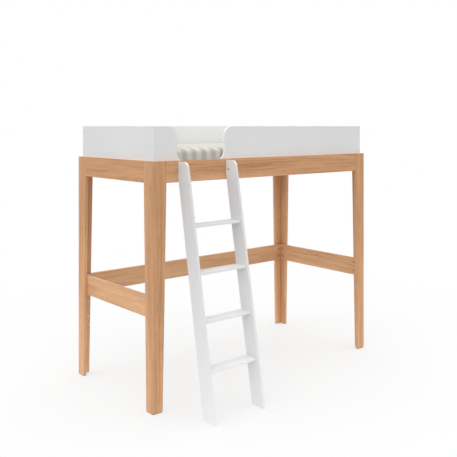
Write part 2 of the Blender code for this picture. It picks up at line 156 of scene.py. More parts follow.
# Mattress
STRIPE_PITCH = 0.082
STRIPE_START = 0.287
STRIPE_WOBBLE = 0.004
WEAVE_PITCH = 0.0011
SEAM_WEAVE_PITCH = 0.0016
ZIP_WEAVE_PITCH = 0.0024
MATTRESS_VOXEL = 0.014
MATTRESS_SHRINK = 0.010
MATTRESS_GROWTH = 0.0085
MATTRESS_EDGE = 0.030
MATTRESS_EDGE_SEGMENTS = 4
MATTRESS_CLEARANCE = Vector((0.0020, 0.0012, 0.0003))
MATTRESS_CROWN = 0.003
CLOTH_FRAMES = 20
RELAX_ROUNDS = 3
COVER_CROWN = 0.006
COVER_WAVE = 0.0016
COVER_RIPPLE = 0.0005
COVER_SIDE_WAVE = 0.0012
COVER_UNDERSIDE = 0.0002
SEAM_RADIUS = 0.0017
ZIP_RADIUS = 0.0022
ZIP_HEIGHT = 0.040
LOOP_STEPS_PER_METRE = 60
CORNER_STEPS = 6
TUBE_SIDES = 8

# Screws, and how far from each cleat's or panel's ends its first and last screws are
HEAD_RADIUS = 0.0042
HEAD_RISE = 0.0002
HEAD_DEPTH = 0.0012
HEAD_SIDES = 20
RECESS_DEPTH = 0.0009
SLAT_COUNT = 12
CLEAT_SCREWS = 6
CLEAT_SCREW_INSET = 0.10
LONG_PANEL_SCREWS = 5
SHORT_PANEL_SCREWS = 3
PANEL_SCREW_INSET = 0.16
PANEL_SCREW_RISE = 0.025

# Spare holes in the back left leg, from its outer edge, and the bushes in them
SPARE_HOLE_INSET = 0.068
SPARE_HOLE_HEIGHTS = (0.351, 0.416, 0.522)
INSERT_FLANGE = 0.0065
INSERT_BORE = 0.0028
INSERT_WALL = 0.0008
INSERT_RISE = 0.0008
INSERT_DEPTH = 0.014
INSERT_SIDES = 24


# ---------------------------------------------------------------- shader helpers


class Tree:
    """A material's nodes, made and linked with short calls."""

    def __init__(self, material):
        self.material = material
        self.nodes = material.node_tree.nodes
        self.links = material.node_tree.links
        self.shader = self.nodes["Principled BSDF"]

    def add(self, kind, **settings):
        node = self.nodes.new("ShaderNode" + kind)
        for key, value in settings.items():
            setattr(node, key, value)
        return node

    def feed(self, socket, value):
        if isinstance(value, bpy.types.NodeSocket):
            self.links.new(value, socket)
        else:
            socket.default_value = value

    def maths(self, operation, first, second=0.0):
        node = self.add("Math", operation=operation)
        self.feed(node.inputs[0], first)
        self.feed(node.inputs[1], second)
        return node.outputs[0]

    def plus(self, base, extra, share):
        """The base with a share of something more."""
        return self.maths("ADD", base, self.maths("MULTIPLY", extra, share))

    def place(self):
        return self.add("TexCoord").outputs["Object"]

    def scaled(self, vector, scale, move=(0.0, 0.0, 0.0)):
        node = self.add("Mapping")
        self.feed(node.inputs["Vector"], vector)
        node.inputs["Location"].default_value = move
        node.inputs["Scale"].default_value = scale
        return node.outputs["Vector"]

    def noise(self, vector, scale=1.0, detail=2.0, roughness=0.5, distortion=0.0):
        node = self.add("TexNoise")
        self.feed(node.inputs["Vector"], vector)
        node.inputs["Scale"].default_value = scale
        node.inputs["Detail"].default_value = detail
        node.inputs["Roughness"].default_value = roughness
        node.inputs["Distortion"].default_value = distortion
        return node.outputs["Fac"]

    def remap(self, value, low, high, to_low=0.0, to_high=1.0, smooth=False):
        node = self.add("MapRange", clamp=True)
        node.interpolation_type = "SMOOTHSTEP" if smooth else "LINEAR"
        self.feed(node.inputs["Value"], value)
        for name, number in zip(("From Min", "From Max", "To Min", "To Max"), (low, high, to_low, to_high)):
            node.inputs[name].default_value = number
        return node.outputs["Result"]

    def ramp(self, value, stops):
        node = self.add("ValToRGB")
        points = node.color_ramp.elements
        while len(points) < len(stops):
            points.new(0.5)
        for point, (position, colour) in zip(points, stops):
            point.position = position
            point.color = (*colour, 1.0)
        self.feed(node.inputs["Fac"], value)
        return node.outputs["Color"]

    def mix(self, share, first, second):
        node = self.add("Mix", data_type="RGBA")
        self.feed(node.inputs["Factor"], share)
        self.feed(node.inputs[6], (*first, 1.0) if isinstance(first, tuple) else first)
        self.feed(node.inputs[7], (*second, 1.0) if isinstance(second, tuple) else second)
        return node.outputs[2]

    def bump(self, height, distance, strength=1.0, below=None):
        node = self.add("Bump")
        self.feed(node.inputs["Height"], height)
        node.inputs["Distance"].default_value = distance
        node.inputs["Strength"].default_value = strength
        if below is not None:
            self.feed(node.inputs["Normal"], below)
        return node.outputs["Normal"]

    def finish(self, colour, roughness, normal=None, **fixed):
        self.feed(self.shader.inputs["Base Color"], colour)
        self.feed(self.shader.inputs["Roughness"], roughness)
        if normal is not None:
            self.feed(self.shader.inputs["Normal"], normal)
        for name, number in fixed.items():
            self.shader.inputs[name.replace("_", " ")].default_value = number
        return self.material


def new_tree(name):
    """A new material, ready for its nodes."""
    material = bpy.data.materials.new(name)
    material.use_nodes = True
    return Tree(material)


def toned(colour, tone):
    """A colour times a number, or times one number for each channel."""
    factors = tone if isinstance(tone, tuple) else (tone, tone, tone)
    return tuple(channel * factor for channel, factor in zip(colour, factors))


# ---------------------------------------------------------------- materials


def grain_scale(axis, along, across):
    """A stretch for noise so that it runs in streaks along one axis."""
    return tuple(along if name == axis else across for name in "XYZ")


def wood(name, axis, colours, seed, streaks=1.0, pores=0.45, roughness=0.44):
    """Straight-grained wood: broad tone bands, wavy growth lines, fine fibres and short dark pores."""
    dark, middle, light = colours
    tree = new_tree(name)
    place = tree.place()
    move = (seed * 1.37, seed * 2.11, seed * 0.73)

    def grain(stretch, **settings):
        return tree.noise(tree.scaled(place, grain_scale(axis, *stretch), move), **settings)

    broad = grain(BAND_GRAIN, detail=2.0)
    wander = grain(WANDER_GRAIN, detail=2.0, distortion=0.4)
    lines = grain(LINE_GRAIN, detail=3.0, roughness=0.6)
    fibres = grain(FIBRE_GRAIN, detail=2.0, roughness=0.7)
    vessels = grain(VESSEL_GRAIN, detail=1.0)
    rings = tree.maths("MULTIPLY", tree.plus(broad, wander, RING_WANDER), RING_WAVES)
    rings = tree.remap(tree.maths("SINE", rings), -1.0, 1.0)
    tone = tree.maths("MULTIPLY", tree.remap(broad, *MEDIUM), BAND_SHARE)
    tone = tree.plus(tone, rings, RING_SHARE * streaks)
    tone = tree.plus(tone, tree.remap(lines, *MEDIUM), LINE_SHARE * streaks)
    tone = tree.plus(tone, tree.remap(fibres, *SOFT), FIBRE_SHARE)
    colour = tree.ramp(tone, [(0.12, dark), (0.50, middle), (0.88, light)])
    pore_mask = tree.remap(vessels, 0.60, 0.72, 0.0, pores)
    colour = tree.mix(pore_mask, colour, toned(dark, PORE_DARKNESS))
    gloss = tree.plus(roughness - 0.08, fibres, 0.16)
    normal = tree.bump(lines, 0.00025, 0.5)
    normal = tree.bump(fibres, 0.00018, 0.6, normal)
    normal = tree.bump(tree.maths("SUBTRACT", 1.0, pore_mask), 0.00020, 0.6, normal)
    return tree.finish(colour, gloss, normal, IOR=1.45)


def knotty_wood(name, axis, colours, seed):
    """Pale softwood: the same grain, with a few small knots and a drier surface."""
    tree = Tree(wood(name, axis, colours, seed, streaks=0.8, pores=0.12, roughness=0.58))
    cells = tree.add("TexVoronoi", feature="F1")
    place = tree.scaled(tree.place(), grain_scale(axis, *KNOT_GRAIN), (seed, 0.4, 0.2))
    tree.feed(cells.inputs["Vector"], place)
    cells.inputs["Scale"].default_value = 1.0
    cells.inputs["Randomness"].default_value = 1.0
    reach = cells.outputs["Distance"]
    knot = tree.remap(reach, 0.030, 0.062, 1.0, 0.0, smooth=True)
    halo = tree.remap(reach, 0.05, 0.16, 0.35, 0.0, smooth=True)
    plain = tree.shader.inputs["Base Color"].links[0].from_socket
    colour = tree.mix(halo, plain, toned(colours[0], 0.80))
    colour = tree.mix(tree.maths("MULTIPLY", knot, 0.85), colour, KNOT)
    tree.feed(tree.shader.inputs["Base Color"], colour)
    return tree.material


def paint(name, colour, seed, wear=0.0):
    """Sprayed satin paint: almost even, with a faint orange peel and slow changes in gloss."""
    tree = new_tree(name)
    place = tree.place()
    move = (seed * 0.9, seed * 1.7, seed * 0.4)
    cloud = tree.noise(tree.scaled(place, PAINT_CLOUD, move), detail=3.0)
    peel = tree.noise(tree.scaled(place, PAINT_PEEL, move), detail=2.0, roughness=0.6)
    haze = tree.noise(tree.scaled(place, PAINT_HAZE, move), detail=4.0, roughness=0.65)
    scuffs = tree.noise(tree.scaled(place, PAINT_SCUFFS, move), detail=3.0, roughness=0.7)
    colour = tree.mix(tree.remap(cloud, *SOFT), toned(colour, 0.975), toned(colour, 1.02))
    scuff_mask = tree.remap(scuffs, 0.62, 0.74, 0.0, 0.05 + wear)
    colour = tree.mix(scuff_mask, colour, SCUFF)
    gloss = tree.plus(tree.plus(0.30, haze, 0.18), scuff_mask, 0.5)
    normal = tree.bump(peel, 0.00006, 0.35)
    return tree.finish(colour, gloss, normal, IOR=1.47)


def steel(name, tint):
    """Plated steel: fine turning lines, a little mottling and soft gloss."""
    tree = new_tree(name)
    place = tree.place()
    mottle = tree.noise(place, STEEL_MOTTLE, detail=3.0)
    lines = tree.noise(tree.scaled(place, STEEL_LINES), detail=2.0)
    colour = tree.mix(tree.remap(mottle, *HARD), toned(tint, 0.84), tint)
    gloss = tree.plus(0.20, lines, 0.25)
    normal = tree.bump(lines, 0.00004, 0.4)
    return tree.finish(colour, gloss, normal, Metallic=1.0)


def bronze_lacquer():
    """The rail bolts' lacquer, in the wood's own tone, thin enough to show the turned metal below."""
    tree = new_tree("bronze_lacquer")
    place = tree.place()
    mottle = tree.noise(place, LACQUER_MOTTLE, detail=3.0)
    lines = tree.noise(tree.scaled(place, LACQUER_LINES), detail=2.0)
    colour = tree.mix(tree.remap(mottle, *HARD), toned(BRONZE, 0.86), BRONZE)
    gloss = tree.plus(0.30, lines, 0.20)
    normal = tree.bump(lines, 0.00004, 0.4)
    return tree.finish(colour, gloss, normal, Metallic=0.25)


def felt():
    """Pressed wool felt: dark, matt and fuzzy."""
    tree = new_tree("grey_felt")
    place = tree.place()
    fuzz = tree.noise(place, FELT_FUZZ, detail=4.0, roughness=0.7)
    clumps = tree.noise(place, FELT_CLUMP, detail=2.0)
    colour = tree.mix(tree.remap(fuzz, *HARD), toned(FELT, 0.6), toned(FELT, 1.8))
    colour = tree.mix(tree.maths("MULTIPLY", clumps, 0.25), colour, FELT_CLUMPS)
    normal = tree.bump(fuzz, 0.0004, 0.8)
    return tree.finish(colour, 0.95, normal, Sheen_Weight=0.25, Sheen_Roughness=0.6)


def woven(tree, pitch):
    """Height of a plain weave on all sides: threads run along the two axes that lie in each face."""
    place = tree.add("SeparateXYZ")
    tree.feed(place.inputs[0], tree.place())
    facing = tree.add("SeparateXYZ")
    tree.feed(facing.inputs[0], tree.add("TexCoord").outputs["Normal"])
    waves = []
    for axis in range(3):
        turns = tree.maths("MULTIPLY", place.outputs[axis], 2 * math.pi / pitch)
        waves.append(tree.maths("SINE", turns))
    total = 0.5
    for axis in range(3):
        pair = [waves[other] for other in range(3) if other != axis]
        cross = tree.maths("MULTIPLY", pair[0], pair[1])
        weight = tree.maths("ABSOLUTE", facing.outputs[axis])
        total = tree.plus(total, tree.maths("MULTIPLY", cross, weight), 0.5)
    return total


def stripes(tree, first_dark):
    """Share of dark stripe: across the bed on the top and long sides, and upright on the two end faces."""
    place = tree.add("SeparateXYZ")
    tree.feed(place.inputs[0], tree.place())
    end = tree.add("Attribute", attribute_name="end_face").outputs["Fac"]
    sideways = tree.add("Mix", data_type="FLOAT")
    tree.feed(sideways.inputs["Factor"], tree.maths("GREATER_THAN", end, 0.5))
    tree.feed(sideways.inputs[2], tree.maths("SUBTRACT", place.outputs[0], first_dark))
    tree.feed(sideways.inputs[3], place.outputs[1])
    wobble = tree.noise(tree.place(), COVER_WOBBLE, detail=2.0)
    wobbly = tree.plus(sideways.outputs[0], wobble, STRIPE_WOBBLE)
    wave = tree.maths("COSINE", tree.maths("MULTIPLY", wobbly, 2 * math.pi / STRIPE_PITCH))
    return tree.remap(wave, -0.75, 0.75, smooth=True)


def mattress_cover(first_dark):
    """Striped cotton ticking: broad soft-edged stripes, a fine weave and slight unevenness."""
    tree = new_tree("mattress_cover")
    share = stripes(tree, first_dark)
    weave = woven(tree, WEAVE_PITCH)
    slub = tree.noise(tree.scaled(tree.place(), COVER_SLUB), detail=2.0)
    cloud = tree.noise(tree.place(), COVER_MOTTLE, detail=3.0)
    colour = tree.mix(share, CREAM, STRIPE)
    colour = tree.mix(tree.maths("MULTIPLY", slub, 0.12), colour, SLUB)
    colour = tree.mix(tree.remap(cloud, *HARD, 0.0, 0.05), colour, COVER_CLOUD)
    colour = tree.mix(tree.remap(weave, 0.1, 0.5, 0.22, 0.0), colour, WEAVE_SHADE)
    normal = tree.bump(weave, 0.00025, 0.5)
    normal = tree.bump(slub, 0.0002, 0.4, normal)
    return tree.finish(colour, 0.88, normal, Sheen_Weight=0.12, Sheen_Roughness=0.5, IOR=1.4)


def seam_cloth():
    """The folded edge of the cover: a fine weave in its bumps, and its colour darker and lighter in patches
    at the scale of its stitches.
    """
    tree = new_tree("cover_seam")
    weave = woven(tree, SEAM_WEAVE_PITCH)
    stitch = tree.noise(tree.place(), SEAM_STITCH, detail=2.0)
    colour = tree.mix(tree.remap(stitch, 0.35, 0.65), toned(CREAM, 0.80), CREAM)
    normal = tree.bump(weave, 0.0004, 0.8)
    return tree.finish(colour, 0.85, normal, Sheen_Weight=0.10)


def zip_tape():
    """A nylon zip: teeth in a coarse weave."""
    tree = new_tree("zip_tape")
    weave = woven(tree, ZIP_WEAVE_PITCH)
    colour = tree.mix(tree.remap(weave, *SOFT), ZIP_GAPS, ZIP_TEETH)
    normal = tree.bump(weave, 0.0006, 1.0)
    return tree.finish(colour, 0.55, normal)


def floor_material():
    """A matt floor, lit partly from within so that shadows stay faint, that turns plain white further out.

    The light that it throws up on to the bed is set apart from how bright it looks.
    """
    tree = new_tree("studio_floor")
    distance = tree.add("VectorMath", operation="LENGTH")
    tree.feed(distance.inputs[0], tree.place())
    far = tree.remap(distance.outputs["Value"], FLOOR_FADE_START, FLOOR_FADE_END, smooth=True)
    tree.finish((FLOOR_LEVEL, FLOOR_LEVEL, FLOOR_LEVEL, 1.0), FLOOR_ROUGHNESS, Specular_IOR_Level=0.0)
    glow = tree.add("Emission")
    look = tree.mix(far, (FLOOR_GLOW, FLOOR_GLOW, FLOOR_GLOW), (1.0, 1.0, 1.0))
    reach = (BOUNCE_FADE_START, BOUNCE_FADE_END, FLOOR_BOUNCE, FLOOR_BOUNCE_FAR)
    bounce = tree.remap(distance.outputs["Value"], *reach, smooth=True)
    seen = tree.add("LightPath").outputs["Is Camera Ray"]
    tree.feed(glow.inputs["Color"], tree.mix(seen, bounce, look))
    blend = tree.add("MixShader")
    tree.feed(blend.inputs["Fac"], tree.remap(far, 0.0, 1.0, FLOOR_OWN_LIGHT, 1.0))
    tree.feed(blend.inputs[1], tree.shader.outputs["BSDF"])
    tree.feed(blend.inputs[2], glow.outputs["Emission"])
    tree.feed(tree.nodes["Material Output"].inputs["Surface"], blend.outputs["Shader"])
    return tree.material


# ---------------------------------------------------------------- mesh helpers


def new_object(name, build, material):
    """Turns a bmesh into an object of one material."""
    mesh = bpy.data.meshes.new(name)
    build.to_mesh(mesh)
    build.free()
    mesh.materials.append(material)
    obj = bpy.data.objects.new(name, mesh)
    bpy.context.scene.collection.objects.link(obj)
    return obj


def circle(sides):
    """The cosine and sine of evenly spaced angles."""
    angles = [2 * math.pi * side / sides for side in range(sides)]
    return [(math.cos(angle), math.sin(angle)) for angle in angles]


def skin(build, pairs):
    """Joins each pair of equally long closed rings of points with a band of faces."""
    for first, second in pairs:
        for side in range(len(first)):
            after = (side + 1) % len(first)
            build.faces.new((first[side], first[after], second[after], second[side]))


def tube(build, points, radius):
    """A closed tube through a closed loop of points."""
    rings = []
    for index, point in enumerate(points):
        ahead = (points[(index + 1) % len(points)] - points[index - 1]).normalized()
        side = ahead.cross(Vector((0, 0, 1)))
        if side.length < 0.2:
            side = ahead.cross(Vector((1, 0, 0)))
        side.normalize()
        up = side.cross(ahead).normalized()
        spots = [point + radius * (across * side + rise * up) for across, rise in circle(TUBE_SIDES)]
        rings.append([build.verts.new(spot) for spot in spots])
    skin(build, zip(rings, rings[1:] + rings[:1]))


def turned_rings(build, profile, sides, turn, centre):
    """One ring of points for each radius and height of a turned shape."""
    rings = []
    for wide, height in profile:
        spots = [Vector((wide * across, wide * along, height)) for across, along in circle(sides)]
        rings.append([build.verts.new(turn @ spot + centre) for spot in spots])
    return rings


def turn_to(outward):
    """The turn that points upright things outward."""
    return Vector((0, 0, 1)).rotation_difference(outward).to_matrix().to_4x4()


def away(value, middle):
    """1 for a value past the middle, otherwise -1."""
    return 1 if value > middle else -1


# ---------------------------------------------------------------- mattress


def rounded_block(low, high, radius, segments):
    """A box with rounded edges, as a bmesh."""
    build = bmesh.new()
    bmesh.ops.create_cube(build, size=1.0)
    size = high - low
    middle = (low + high) / 2
    for vert in build.verts:
        vert.co = Vector((vert.co.x * size.x, vert.co.y * size.y, vert.co.z * size.z)) + middle
    bmesh.ops.bevel(build, geom=build.edges[:], offset=radius, segments=segments, profile=0.5, affect="EDGES")
    return build


def stuffed(obj, growth):
    """Blows the cover up a little with a cloth simulation and keeps each point within growth of its start."""
    start = [vert.co.copy() for vert in obj.data.vertices]
    cloth = obj.modifiers.new("cloth", "CLOTH")
    cloth.settings.quality = 5
    cloth.settings.mass = 0.3
    cloth.settings.tension_stiffness = 20.0
    cloth.settings.compression_stiffness = 20.0
    cloth.settings.shear_stiffness = 8.0
    cloth.settings.bending_stiffness = 2.0
    cloth.settings.use_pressure = True
    cloth.settings.uniform_pressure_force = 4.0
    cloth.settings.effector_weights.gravity = 0.0
    cloth.collision_settings.use_collision = False
    cloth.point_cache.frame_start = 1
    cloth.point_cache.frame_end = CLOTH_FRAMES
    scene = bpy.context.scene
    for number in range(1, CLOTH_FRAMES + 1):
        scene.frame_set(number)
    evaluated = obj.evaluated_get(bpy.context.evaluated_depsgraph_get())
    moved = [vert.co.copy() for vert in evaluated.data.vertices]
    obj.modifiers.remove(cloth)
    scene.frame_set(1)
    for vert, old, new in zip(obj.data.vertices, start, moved):
        shift = new - old
        length = shift.length
        if length > 1e-9:
            vert.co = old + shift * (growth * math.tanh(length / growth) / length)
    obj.data.update()


def end_face_share(point, low, high):
    """1 on the two end faces of the cover, inside their seams, and 0 elsewhere."""
    inset = MATTRESS_EDGE * 0.55
    from_end = min(point.x - low.x, high.x - point.x)
    from_side = min(point.y - low.y, high.y - point.y)
    from_top = min(point.z - low.z, high.z - point.z)
    return 1.0 if from_end < min(from_side, from_top, inset) else 0.0


def mattress(material):
    """The mattress: a foam block in a tight cover that crowns a little and rests flat on the slats."""
    low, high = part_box("mattress")
    shrink = Vector((MATTRESS_SHRINK, MATTRESS_SHRINK, MATTRESS_SHRINK))
    build = rounded_block(low + shrink, high - shrink, MATTRESS_EDGE, MATTRESS_EDGE_SEGMENTS)
    cover = new_object("striped_mattress", build, material)
    remesh = cover.modifiers.new("remesh", "REMESH")
    remesh.mode = "VOXEL"
    remesh.voxel_size = MATTRESS_VOXEL
    bpy.context.view_layer.update()
    fine = bpy.data.meshes.new_from_object(cover.evaluated_get(bpy.context.evaluated_depsgraph_get()))
    cover.modifiers.clear()
    cover.data = fine
    stuffed(cover, MATTRESS_GROWTH)
    relax(cover, RELAX_ROUNDS)
    settle(cover, low, high)
    refine(cover)
    fit(cover, low, high)
    mark_end_faces(cover, low, high)
    if not cover.data.materials:
        cover.data.materials.append(material)
    cover.data.shade_smooth()
    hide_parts("mattress")
    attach(cover, "mattress")
    return cover, low, high


def relax(obj, rounds):
    """Smooths the mesh a little, so that no small steps are left."""
    build = bmesh.new()
    build.from_mesh(obj.data)
    axes = {"use_axis_x": True, "use_axis_y": True, "use_axis_z": True}
    for _ in range(rounds):
        bmesh.ops.smooth_vert(build, verts=build.verts, factor=0.5, **axes)
    build.to_mesh(obj.data)
    build.free()


def settle(obj, low, high):
    """Adds the crown and the soft waves of the cover, and flattens the underside where it rests."""
    middle = (low + high) / 2
    half = (high - low) / 2
    for vert in obj.data.vertices:
        point = vert.co
        across_x = min(1.0, abs(point.x - middle.x) / half.x)
        across_y = min(1.0, abs(point.y - middle.y) / half.y)
        upper = max(0.0, (point.z - middle.z) / half.z)
        crown = COVER_CROWN * (1 - across_x**6) * (1 - across_y**4) * upper
        wave = noise.noise(Vector((point.x * 5.0, point.y * 5.0, point.z * 3.0)))
        ripple = noise.noise(Vector((point.x * 17.0, point.y * 13.0, point.z * 13.0)))
        vert.co.z += crown + (COVER_WAVE * wave + COVER_RIPPLE * ripple) * upper
        vert.co.z = max(vert.co.z, low.z + COVER_UNDERSIDE)
        vert.co.y += away(point.y, middle.y) * COVER_SIDE_WAVE * wave * across_y**4
    obj.data.update()


def refine(obj):
    """One subdivision, applied."""
    extra = obj.modifiers.new("finer", "SUBSURF")
    extra.levels = 1
    extra.render_levels = 1
    bpy.context.view_layer.update()
    finer = bpy.data.meshes.new_from_object(obj.evaluated_get(bpy.context.evaluated_depsgraph_get()))
    obj.modifiers.clear()
    obj.data = finer


def fit(obj, low, high):
    """Stretches the cover so that it fills its place between the guard panels and rests on the slats."""
    corners = [Vector(corner) for corner in obj.bound_box]
    old_low = Vector(min(corner[axis] for corner in corners) for axis in range(3))
    old_high = Vector(max(corner[axis] for corner in corners) for axis in range(3))
    new_low = low + MATTRESS_CLEARANCE
    new_high = high - MATTRESS_CLEARANCE
    new_high.z = high.z + MATTRESS_CROWN
    for vert in obj.data.vertices:
        for axis in range(3):
            share = (vert.co[axis] - old_low[axis]) / (old_high[axis] - old_low[axis])
            vert.co[axis] = new_low[axis] + share * (new_high[axis] - new_low[axis])
    obj.data.update()


def mark_end_faces(obj, low, high):
    """Stores on each face whether it belongs to an end face of the cover."""
    attribute = obj.data.attributes.new("end_face", "FLOAT", "FACE")
    values = [end_face_share(face.center, low, high) for face in obj.data.polygons]
    attribute.data.foreach_set("value", values)


def surface_points(tree, starts, aims):
    """Where rays from the starts towards the aims meet the cover."""
    points = []
    for start, aim in zip(starts, aims):
        hit = tree.ray_cast(start, (aim - start).normalized())[0]
        if hit is not None:
            points.append(hit)
    return points


def perimeter(low, high, z):
    """Points round the mattress, well outside it, with the point straight inside for each."""
    out = 0.05
    radius = 0.03
    corners = []
    for sign_x, sign_y, quarter in ((1, -1, 3), (1, 1, 0), (-1, 1, 1), (-1, -1, 2)):
        x = (high.x if sign_x > 0 else low.x) - sign_x * radius
        y = (high.y if sign_y > 0 else low.y) - sign_y * radius
        for step in range(CORNER_STEPS + 1):
            angle = math.radians(90 * (quarter + step / CORNER_STEPS))
            corners.append((Vector((x, y, z)), Vector((math.cos(angle), math.sin(angle), 0))))
    starts = []
    aims = []
    for (centre, outward), (next_centre, _) in zip(corners, corners[1:] + corners[:1]):
        steps = max(1, round((next_centre - centre).length * LOOP_STEPS_PER_METRE))
        for step in range(steps):
            spot = centre.lerp(next_centre, step / steps)
            starts.append(spot + outward * (radius + out))
            aims.append(spot)
    return starts, aims


def end_loop(low, high, sign):
    """Points round one end face of the mattress, along its seam, and the point inside for each."""
    out = 0.06
    inset = MATTRESS_EDGE * 0.5
    x = high.x - inset if sign > 0 else low.x + inset
    corners = [
        Vector((x, low.y + inset, low.z + inset)),
        Vector((x, high.y - inset, low.z + inset)),
        Vector((x, high.y - inset, high.z - inset)),
        Vector((x, low.y + inset, high.z - inset)),
    ]
    middle = (low + high) / 2
    starts = []
    aims = []
    for corner, after in zip(corners, corners[1:] + corners[:1]):
        steps = max(2, round((after - corner).length * LOOP_STEPS_PER_METRE))
        level = after.z == corner.z
        for step in range(steps):
            spot = corner.lerp(after, step / steps)
            outward = Vector((sign, away(spot.y, middle.y), away(spot.z, middle.z)))
            if step > 0:
                outward[1 if level else 2] = 0
            starts.append(spot + outward.normalized() * out)
            aims.append(spot)
    return starts, aims


def mattress_seams(cover, low, high, seam_material, zip_material):
    """A sewn edge round each end face, and a zip all the way round near the bottom."""
    surface = BVHTree.FromObject(cover, bpy.context.evaluated_depsgraph_get())
    build = bmesh.new()
    for sign in (-1, 1):
        points = surface_points(surface, *end_loop(low, high, sign))
        tube(build, points, SEAM_RADIUS)
    seams = new_object("mattress_seams", build, seam_material)
    build = bmesh.new()
    starts, aims = perimeter(low, high, low.z + ZIP_HEIGHT)
    points = surface_points(surface, starts, aims)
    tube(build, points, ZIP_RADIUS)
    closing = new_object("mattress_zip", build, zip_material)
    for piece in (seams, closing):
        piece.data.shade_smooth()
        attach(piece, "mattress")


# ---------------------------------------------------------------- screws


def cross_outline(arm, slot):
    """The corners of an upright cross: how far its arms reach, and half their width."""
    quarter = [(arm, -slot), (arm, slot), (slot, slot)]
    outline = []
    for _ in range(4):
        outline += quarter
        quarter = [(-y, x) for x, y in quarter]
    return outline


def ring_edges(build, ring):
    """The edges round a closed ring of points, made where they are missing."""
    pairs = zip(ring, ring[1:] + ring[:1])
    return [build.edges.get(pair) or build.edges.new(pair) for pair in pairs]


def screw_head(build, centre, outward):
    """A flat countersunk head with a cross recess, flush with the surface around it."""
    turn = turn_to(outward)
    profile = [(HEAD_RADIUS * 0.92, -HEAD_DEPTH), (HEAD_RADIUS, 0.0), (HEAD_RADIUS * 0.94, HEAD_RISE)]
    rings = turned_rings(build, profile, HEAD_SIDES, turn, centre)
    skin(build, zip(rings, rings[1:]))
    recess = []
    for spread, height in ((1.0, HEAD_RISE), (0.8, HEAD_RISE - RECESS_DEPTH)):
        outline = cross_outline(HEAD_RADIUS * 0.62, HEAD_RADIUS * 0.16)
        spots = [Vector((x * spread, y * spread, height)) for x, y in outline]
        recess.append([build.verts.new(turn @ spot + centre) for spot in spots])
    mouth, floor = recess
    edges = ring_edges(build, rings[-1]) + ring_edges(build, mouth)
    bmesh.ops.triangle_fill(build, use_beauty=True, use_dissolve=False, edges=edges)
    skin(build, [(mouth, floor)])
    build.faces.new(floor)
    build.faces.new(rings[0])


def screws(name, spots, material):
    """One piece that holds all the screw heads of one kind."""
    build = bmesh.new()
    for centre, outward in spots:
        screw_head(build, centre, outward)
    bmesh.ops.recalc_face_normals(build, faces=build.faces)
    piece = new_object(name, build, material)
    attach(piece, "bed_frame")


def spread_out(low, high, inset, count):
    """Evenly spaced places along a piece, the first and last of them an inset from its ends."""
    return [low + inset + (high - low - 2 * inset) * step / (count - 1) for step in range(count)]


def slat_screw_spots():
    """One screw at each end of each slat, over the cleat below."""
    spots = []
    front_low, front_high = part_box("front_slat_cleat")
    back_low, back_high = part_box("back_slat_cleat")
    for number in range(1, SLAT_COUNT + 1):
        low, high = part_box(f"slat_{number:02d}")
        for y in ((front_low.y + front_high.y) / 2, (back_low.y + back_high.y) / 2):
            spots.append((Vector(((low.x + high.x) / 2, y, high.z)), Vector((0, 0, 1))))
    return spots


def cleat_screw_spots():
    """Screws through the side of each cleat into its guard panel."""
    spots = []
    for name, side in (("front_slat_cleat", 1), ("back_slat_cleat", -1)):
        low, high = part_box(name)
        y = high.y if side > 0 else low.y
        for x in spread_out(low.x, high.x, CLEAT_SCREW_INSET, CLEAT_SCREWS):
            spots.append((Vector((x, y, (low.z + high.z) / 2)), Vector((0, side, 0))))
    return spots


def panel_screw_spots():
    """Screws through each guard panel into the rail behind it, below the top of the mattress."""
    spots = []
    rail_low, rail_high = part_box("upper_front_rail")
    height = (rail_low.z + rail_high.z) / 2 + PANEL_SCREW_RISE
    for name, axis, count, side in (
        ("front_guard_panel", 0, LONG_PANEL_SCREWS, Vector((0, 1, 0))),
        ("back_guard_panel", 0, LONG_PANEL_SCREWS, Vector((0, -1, 0))),
        ("left_guard_panel", 1, SHORT_PANEL_SCREWS, Vector((1, 0, 0))),
        ("right_guard_panel", 1, SHORT_PANEL_SCREWS, Vector((-1, 0, 0))),
    ):
        low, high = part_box(name)
        face = 1 - axis
        for place in spread_out(low[axis], high[axis], PANEL_SCREW_INSET, count):
            spot = Vector((0.0, 0.0, height))
            spot[axis] = place
            spot[face] = high[face] if side[face] > 0 else low[face]
            spots.append((spot, side))
    return spots


def insert_ring(build, centre, outward):
    """A flanged bush: a thin collar on the board's face and a short tube down into the hole."""
    profile = [
        (INSERT_BORE, -INSERT_DEPTH),
        (INSERT_BORE, INSERT_RISE * 0.6),
        (INSERT_BORE + INSERT_RISE * 0.4, INSERT_RISE),
        (INSERT_FLANGE - INSERT_RISE * 0.5, INSERT_RISE),
        (INSERT_FLANGE, INSERT_RISE * 0.4),
        (INSERT_FLANGE, 0.0),
        (INSERT_BORE + INSERT_WALL, 0.0),
        (INSERT_BORE + INSERT_WALL, -INSERT_DEPTH),
    ]
    rings = turned_rings(build, profile, INSERT_SIDES, turn_to(outward), centre)
    skin(build, zip(rings, rings[1:] + rings[:1]))


def leg_inserts(material):
    """Bright flanged bushes in the three spare holes of the back left leg."""
    low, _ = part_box("back_left_leg_back_board")
    build = bmesh.new()
    for height in SPARE_HOLE_HEIGHTS:
        centre = Vector((low.x + SPARE_HOLE_INSET, low.y, height))
        insert_ring(build, centre, Vector((0, -1, 0)))
    bmesh.ops.recalc_face_normals(build, faces=build.faces)
    piece = new_object("leg_inserts", build, material)
    piece.data.shade_smooth()
    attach(piece, "bed_frame")


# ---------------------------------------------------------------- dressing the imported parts


def long_axis(name):
    """The axis that a board's grain runs along: its longest side."""
    low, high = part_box(name)
    size = high - low
    return "XYZ"[max(range(3), key=lambda axis: size[axis])]


def dress(name, material):
    """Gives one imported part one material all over."""
    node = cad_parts[name]
    node.data.materials.clear()
    node.data.materials.append(material)
    for face in node.data.polygons:
        face.material_index = 0


